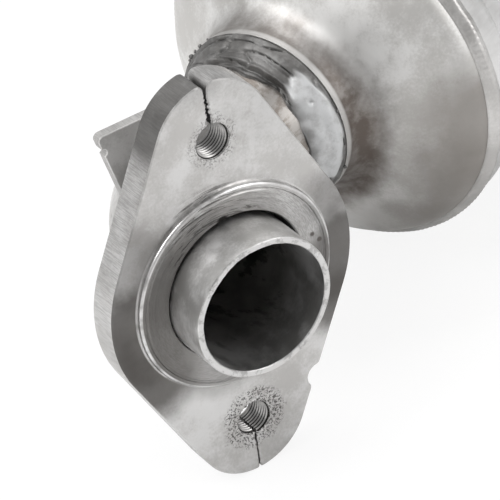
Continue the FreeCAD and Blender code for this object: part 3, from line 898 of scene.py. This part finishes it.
def dome_face(shrink, offset):
    """Loops from the collar's mouth to the skirt's end on a face shrink inside the dome's outer
    one, as (height above the edge plane, sideways, up) from the can's axis."""
    rim, knuckle, crown = dome_radius - shrink, knuckle_radius - shrink, crown_radius - shrink
    stem, fillet = collar_radius - shrink, collar_fillet + shrink
    crown_centre = Vector((dome_rise - crown_radius, 0, 0))
    knuckle_centre = crown_centre.x + sqrt((crown - knuckle) ** 2 - (rim - knuckle) ** 2)
    meet = atan2(rim - knuckle, knuckle_centre - crown_centre.x)
    columns = []
    for angle in angles(168):
        c, s = cos(angle), sin(angle)
        ball = Vector((0, offset + (stem + fillet) * c, (stem + fillet) * s))
        ball.x = crown_centre.x + sqrt((crown + fillet) ** 2 - ball.y ** 2 - ball.z ** 2)
        foot = Vector((ball.x, offset + stem * c, stem * s))
        touch = crown_centre.lerp(ball, crown / (crown + fillet))
        column = [(height, foot.y, foot.z) for height in (collar_height, (collar_height + ball.x) / 2)]
        start, end = foot - ball, touch - ball
        sweep = start.angle(end)
        for t in fractions(9):
            arm = start * sin((1 - t) * sweep) + end * sin(t * sweep)
            column.append(ball + arm / sin(sweep))
        rim_point = Vector((touch.x, crown * sin(meet) * c, crown * sin(meet) * s))
        for t in fractions(12)[1:-1]:
            _, y, z = touch.lerp(rim_point, t)
            column.append((crown_centre.x + sqrt(crown ** 2 - y * y - z * z), y, z))
        for a in (meet + (right_angle - meet) * t for t in fractions(8)):
            r = rim - knuckle + knuckle * sin(a)
            column.append((knuckle_centre + knuckle * cos(a), r * c, r * s))
        columns.append(column + [(-skirt_length, rim * c, rim * s)])
    return list(zip(*columns))


def dome_mesh(edge, hand, offset):
    """Both faces of a dome; hand is the direction along X in which it rises."""
    loops = dome_face(0.0, offset) + dome_face(dome_wall, offset)[::-1]
    return closed_skin([[can_axis + Vector((edge + hand * x, y, z)) for x, y, z in loop] for loop in loops])


dome_finish = steel("pressed_sheet", (0.66, 0.655, 0.645), (0.48, 0.47, 0.455), 30.0, (0.46, 0.58), 0.02)
place = object_place(dome_finish.node_tree)
beside = vector_node("SUBTRACT", place, neck_axis - Vector((0, 2.0 * mm, 3.6 * mm)))
spread = vector_node("LENGTH", vector_node("MULTIPLY", beside, (0, 1, 1)), result="Value")
cloud = math_node("SUBTRACT", noise_node(place, 60.0, 5.0, 0.6), 0.5)
halo = ramp_node(math_node("ADD", spread, both(cloud, 9 * mm)), 26.0 * mm, 36.0 * mm, 1.0, 0.0)
past_collar = vector_node("DOT_PRODUCT", beside, (1, 0, 0), "Value")
past_collar = ramp_node(past_collar, neck_start + 1.2 * mm, neck_start + 2.6 * mm)
patchy = speckle(dome_finish, 140.0, 5.0, 0.65, 0.34, 0.60, 0.78, 1.0)
stain(both(both(halo, past_collar), patchy), (0.085, 0.067, 0.056), 0.94)
stain(outside(past_collar), (0.44, 0.43, 0.42), 0.6)
# Painted shade: three dark patches on the knuckle and skirt, where the dome reflects little light.
for x, y, z, wide, strength in ((92, -22, -3, 10, 0.85), (88, 6, -46, 8, 0.4), (92, -15, -28, 10, 0.75)):
    painted_knuckle_shade = patch_mask(dome_finish, Vector((x, y, z)) * mm, wide, 20, 16, 50.0)
    stain(painted_knuckle_shade, (0.20, 0.185, 0.17), strength)
inlet_dome = dome_mesh(dome_edge, -1, collar_offset)
fit_piece("inlet_dome_shell", inlet_dome, dome_finish, "inlet_dome")

# ------------------
# Can: sheet rolled and seam-welded, each end opened out over a dome's skirt.
can_wall = 1.2 * mm
can_gap = 2.2 * mm
can_length = 188.0 * mm
socket_length = 9.0 * mm
joggle_length = 2.2 * mm
can_radius = dome_radius + slip
socket_radius = can_radius + can_wall
can_start = dome_edge + can_gap
can_end = can_start + can_length


def can_profile():
    """Outer face from end to end, then the inner face back."""
    faces = []
    for shrink in (0.0, can_wall):
        big, small = socket_radius - shrink, can_radius - shrink
        start = [(can_start, big), (can_start + socket_length - 1 * mm, big)]
        start += flared_wall(can_start + socket_length, joggle_length, big, small)
        middle = [(can_start + can_length * share / 6, small) for share in (1, 2, 3, 4, 5)]
        faces.append(start + middle + [(can_start + can_end - x, r) for x, r in reversed(start)])
    return faces[0] + faces[1][::-1]


def dome_weld_section(edge, hand, seed):
    """The bead's section at an angle, from the dome over its crown onto the can's end."""
    def section(angle):
        around = spoke(angle, seed)
        lump = 0.18 * noise(around * 6.0) + 0.1 * noise(around * 19.0)
        ripple = 0.08 * sin(angle * 190)
        points = [(edge - hand * 0.2 * mm, dome_radius - 1.0 * mm)]
        for t in fractions(8):
            x = edge + hand * (-0.2 + (5.2 + 2.0 * lump) * t) * mm
            base = dome_radius - 0.1 * mm + (socket_radius - dome_radius) * min(1.0, 2 * t)
            points.append((x, base + sin(pi * t) * (0.8 + lump + ripple) * mm))
        return points + [(x, socket_radius - 0.6 * mm)]
    return section


can_finish = steel("rolled_sheet", (0.58, 0.575, 0.57), (0.50, 0.495, 0.49), 26.0, (0.34, 0.48), 0.008,
                   stretch=(0.2, 1, 1))
seam_finish = steel("machine_bead", (0.50, 0.49, 0.48), (0.38, 0.37, 0.36), 60.0, (0.34, 0.5), 0.03)
can_tube = carried_round(lambda angle: can_profile(), about(can_axis), 200)
inlet_dome_bead = carried_round(dome_weld_section(dome_edge, 1, 2.0), about(can_axis), 600)
fit_piece("can_tube", can_tube, can_finish, "can_shell")
fit_piece("inlet_dome_bead", inlet_dome_bead, seam_finish, "inlet_dome_weld", 60)

# ------------------
# Inlet flange weld: a rippled fillet laid round the pipe behind the flange.
flange_weld_leg = 3.6 * mm
weld_depth = 0.6 * mm


def fillet_section(edge, hand, seed):
    """The fillet's section at an angle, from the flange's back down to the pipe."""
    def section(angle):
        around = spoke(angle, seed)
        leg = flange_weld_leg * (1 + 0.12 * noise(around * 3.0))
        ripple = 0.1 * mm * sin(angle * 44 + 2 * noise(around * 5.0))
        points = [(edge, pipe_radius - weld_depth), (edge, pipe_radius + leg)]
        for t in fractions(7)[1:-1]:
            swell = 0.7 * (0.5 * mm * sin(pi * t) + ripple)
            points.append((edge + hand * (leg * t + swell), pipe_radius + leg * (1 - t) + swell))
        return points + [(edge + hand * leg, pipe_radius), (edge + hand * leg, pipe_radius - weld_depth)]
    return section


def about_inlet(depth, angle, r):
    """Places a bead behind the inlet flange: depth from the flange's face along the pipe."""
    return on_inlet(r * cos(angle), r * sin(angle), -depth)


inlet_flange_bead = carried_round(fillet_section(flange_thickness, 1, 3.0), about_inlet)
fit_piece("inlet_flange_bead", inlet_flange_bead, weld_finish, "inlet_flange_weld", 60)

# ------------------
# Bracket: a flat sheared tab standing on the elbow behind the flange, its left edge nicked, with
# a short fillet along each side of its foot.
bracket_front = 20.0 * mm
bracket_thickness = 3.0 * mm
bracket_left = 21.2 * mm
bracket_right = 11.0 * mm
bracket_top = 45.2 * mm
bracket_foot = 15.0 * mm
bracket_corner = 1.5 * mm
bracket_nick = 1.1 * mm
elbow_drift = 1.4 * mm
foot_radius = pipe_radius - 0.7 * mm


def bracket_contour():
    """The tab's edge, anticlockwise, its foot following the elbow's wall."""
    span = asin(bracket_foot / foot_radius)
    foot = arc_points((elbow_drift, 0), foot_radius, right_angle + span, right_angle - span)
    right, left = [
        arc_points((x, bracket_top - bracket_corner), bracket_corner, start, start + right_angle, 0.4 * mm)
        for x, start in ((bracket_right - bracket_corner, 0), (bracket_corner - bracket_left, right_angle))]
    return (foot + line_points(foot[-1], right[0]) + right + line_points(right[-1], left[0]) + left
            + line_points(left[-1], foot[0], 0.5 * mm))


def on_bracket(right, rise, out):
    """From the tab's own axes to the assembly."""
    return on_inlet(right, rise, out - bracket_front)


def dress(node, material):
    """Gives a solid that keeps its own shape its finish."""
    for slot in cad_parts[node].material_slots:
        slot.material = material


bracket_finish = steel("sheared_plate", (0.66, 0.65, 0.64), (0.48, 0.47, 0.46), 70.0, (0.5, 0.7), 0.04, 0.45)
stain(mark_walls(bracket_finish, outward, (0.16, 0.155, 0.15)), (0.26, 0.255, 0.25), 0.6)
nick_place = Vector((0.8 * mm - bracket_left, bracket_top - 5.0 * mm))
tab_edge = bite_notch(bracket_contour(), nick_place, bracket_nick, 0.2 * mm)
bracket_tab = plate_mesh(tab_edge, on_bracket, thickness=bracket_thickness, bevel=0.25 * mm)
fit_piece("bracket_tab", bracket_tab, bracket_finish, "bracket", 30)
dress("bracket_weld", weld_finish)

# ------------------
# Can seam: the low bead that closes the rolled can, laid by machine in even ripples.
seam_width = 4.0 * mm
seam_height = 0.5 * mm
seam_start = can_start + socket_length + 2 * joggle_length
seam_end = can_end - socket_length - 2 * joggle_length


def seam_mesh():
    """The bead as sections along the can, closed at both ends."""
    rows = []
    stations = 190
    for i in range(stations + 1):
        x = seam_start + (seam_end - seam_start) * i / stations
        fade = max(0.2, min(1.0, 40 * i / stations, 40 * (stations - i) / stations))
        height = seam_height * (0.86 + 0.14 * sin(i * 2.1)) * fade
        half = seam_width / 2 * (1 + 0.04 * sin(i * 2.1 + 1.2))
        row = []
        for t in (2 * part - 1 for part in fractions(8)):
            r = sqrt(can_radius ** 2 - (t * half) ** 2) - 0.05 * mm + height * (1 - t * t)
            row.append((r, t * half))
        row += [(can_radius - 0.5 * mm, side * seam_width / 3) for side in (1, -1)]
        rows.append([can_axis + Vector((x, y, z)) for y, z in row])
    return closed_skin(rows, capped=True)


fit_piece("can_seam_bead", seam_mesh(), seam_finish, "can_seam_weld", 60)

# ------------------
# Bricks: extruded ceramic honeycombs, wash-coated brown, each cell open from end to end inside
# an unbroken skin.
brick_radius = can_radius - can_wall - 4.2 * mm
brick_length = 70.0 * mm
brick_gap = 14.0 * mm
cell_pitch = 2.2 * mm
cell_wall = 0.35 * mm
cell_margin = 1.2 * mm


def honeycomb(start):
    """The walls, skin and two end faces of a brick."""
    build = bmesh.new()
    reach = brick_radius - cell_margin
    span = int(reach / cell_pitch) + 1
    low, high = cell_wall / 2, cell_pitch - cell_wall / 2
    cells = [(i, j) for i in range(-span, span) for j in range(-span, span)
             if hypot(max(abs(i), abs(i + 1)), max(abs(j), abs(j + 1))) * cell_pitch < reach]
    ends = []
    for x in (start, start + brick_length):
        def corner_at(y, z):
            return build.verts.new(can_axis + Vector((x, y, z)))
        lattice, loops = {}, []
        for i, j in cells:
            around = [(i, j), (i + 1, j), (i + 1, j + 1), (i, j + 1)]
            for corner in around:
                if corner not in lattice:
                    lattice[corner] = corner_at(corner[0] * cell_pitch, corner[1] * cell_pitch)
            mouth = [corner_at(i * cell_pitch + a, j * cell_pitch + b)
                     for a, b in ((low, low), (high, low), (high, high), (low, high))]
            bridge(build, ([lattice[corner] for corner in around], mouth))
            loops.append(mouth)
        corners = set(lattice.values())
        border = {edge for v in corners for edge in v.link_edges
                  if len(edge.link_faces) == 1 and edge.other_vert(v) in corners}
        rim = [corner_at(brick_radius * cos(a), brick_radius * sin(a)) for a in angles(240)]
        fill(build, list(border) + edges_of(build, rim))
        ends.append(loops + [rim])
    for pair in zip(*ends):
        bridge(build, pair)
    return finished(build)


def mineral(name, dark, light, cloud, sheen, roughness, bumps, depth):
    """A dry mineral finish; cloud, sheen and bumps are noises, (scale, detail, roughness)."""
    finish = bpy.data.materials.new(name)
    finish.use_nodes = True
    shader = finish.node_tree.nodes["Principled BSDF"].inputs
    place = object_place(finish.node_tree)
    tone = ramp_node(noise_node(place, *cloud), 0.35, 0.65)
    feed(shader["Base Color"], blend_node(tone, dark + (1,), light + (1,)))
    feed(shader["Roughness"], ramp_node(noise_node(place, *sheen), 0.3, 0.7, *roughness))
    bump = make_node(finish.node_tree, "Bump", {"Distance": depth * mm, "Height": noise_node(place, *bumps)})
    feed(shader["Normal"], bump.outputs["Normal"])
    return finish


ceramic = mineral("wash_coated_ceramic", (0.36, 0.27, 0.19), (0.50, 0.41, 0.31), (90.0, 5.0, 0.6),
                  (900.0, 3.0), (0.8, 0.95), (2500.0, 3.0), 0.05)
can_middle = (can_start + can_end) / 2
brick_starts = {"front": can_middle - brick_gap / 2 - brick_length, "rear": can_middle + brick_gap / 2}
for end, brick_start in brick_starts.items():
    fit_piece(end + "_honeycomb", honeycomb(brick_start), ceramic, end + "_brick", 30)

# ------------------
# Mats and seals: pressed mineral fibre wrapped round each brick, with a ring of knitted wire at
# each end that keeps the gas off it.
strands = (1600.0, 6.0, 0.7)
fibre = mineral("pressed_fibre", (0.46, 0.42, 0.36), (0.72, 0.68, 0.60), strands, strands, (0.85, 0.98),
                strands, 0.2)
wire_finish = steel("knitted_wire", (0.50, 0.49, 0.47), (0.14, 0.13, 0.13), 900.0, (0.3, 0.5), 0.3)
for brick in ("front", "rear"):
    dress(brick + "_mat", fibre)
    for end in ("_inlet", "_outlet"):
        dress(brick + end + "_seal", wire_finish)

# ------------------
# Outlet dome: the same pressing with its collar on the can's axis, closed on the can by a bead.
outlet_edge = can_end + can_gap
outlet_neck = outlet_edge + collar_height
outlet_dome_bead = carried_round(dome_weld_section(outlet_edge, -1, 5.0), about(can_axis), 600)
fit_piece("outlet_dome_shell", dome_mesh(outlet_edge, 1, 0.0), dome_finish, "outlet_dome")
fit_piece("outlet_dome_bead", outlet_dome_bead, seam_finish, "outlet_dome_weld", 60)

# ------------------
# Outlet pipe: a straight length of the same tube, opened out in the collar and welded there.
outlet_length = 44.0 * mm
outlet_pipe_set_back = 1.5 * mm
outlet_face = outlet_neck + outlet_length


def outlet_pipe_profile():
    """Outer face from the flared end to the rim, then the inner face back."""
    rim = outlet_face - outlet_pipe_set_back
    faces = []
    for shrink in (0.0, pipe_wall):
        wide, narrow = flare_radius - shrink, pipe_radius - shrink
        faces.append([(outlet_neck - flare_insertion, wide)]
                     + flared_wall(outlet_neck, flare_length, wide, narrow)
                     + [(outlet_face - 12 * mm, narrow), (rim - tube_edge, narrow)])
    inner_rim = (rim, pipe_radius - pipe_wall + tube_edge)
    return faces[0] + [(rim, pipe_radius - tube_edge), inner_rim] + faces[1][::-1]


outlet_pipe = carried_round(lambda angle: outlet_pipe_profile(), about(can_axis), 160)
fit_piece("outlet_pipe_tube", outlet_pipe, pipe_finish, "outlet_pipe")
fit_piece("outlet_neck_bead", neck_bead(outlet_neck, 1, about(can_axis), 6.0), weld_finish,
          "outlet_neck_weld", 70)

# ------------------
# Outlet flange: the same plate with two plain stud holes, welded behind its face.
stud_hole_radius = 5.5 * mm


def on_outlet(right, rise, out):
    """From the outlet flange's own axes to the assembly."""
    return can_axis + Vector((outlet_face + out, right, rise))


stud_holes = [arc_points((0, hand * half_pitch), stud_hole_radius, 0, 2 * pi, 0.5 * mm)[:-1]
              for hand in (1, -1)]
bore_rings = [(bore_radius + wider, out, 0) for wider, out in (
    (edge_break, 0), (0, -edge_break), (0, edge_break - flange_thickness), (edge_break, -flange_thickness))]
outlet_plate = plate_mesh(drop_repeats(plate_contour((None, None))), on_outlet, stud_holes, bore_rings)
outlet_finish = steel("clean_plate", (0.57, 0.565, 0.56), (0.45, 0.44, 0.43), 55.0, (0.36, 0.56), 0.04)
mark_walls(outlet_finish, along, (0.27, 0.265, 0.26))
outlet_flange_bead = carried_round(fillet_section(outlet_face - flange_thickness, -1, 8.0), about(can_axis))
fit_piece("outlet_flange_plate", outlet_plate, outlet_finish, "outlet_flange", 30)
fit_piece("outlet_flange_bead", outlet_flange_bead, weld_finish, "outlet_flange_weld", 60)
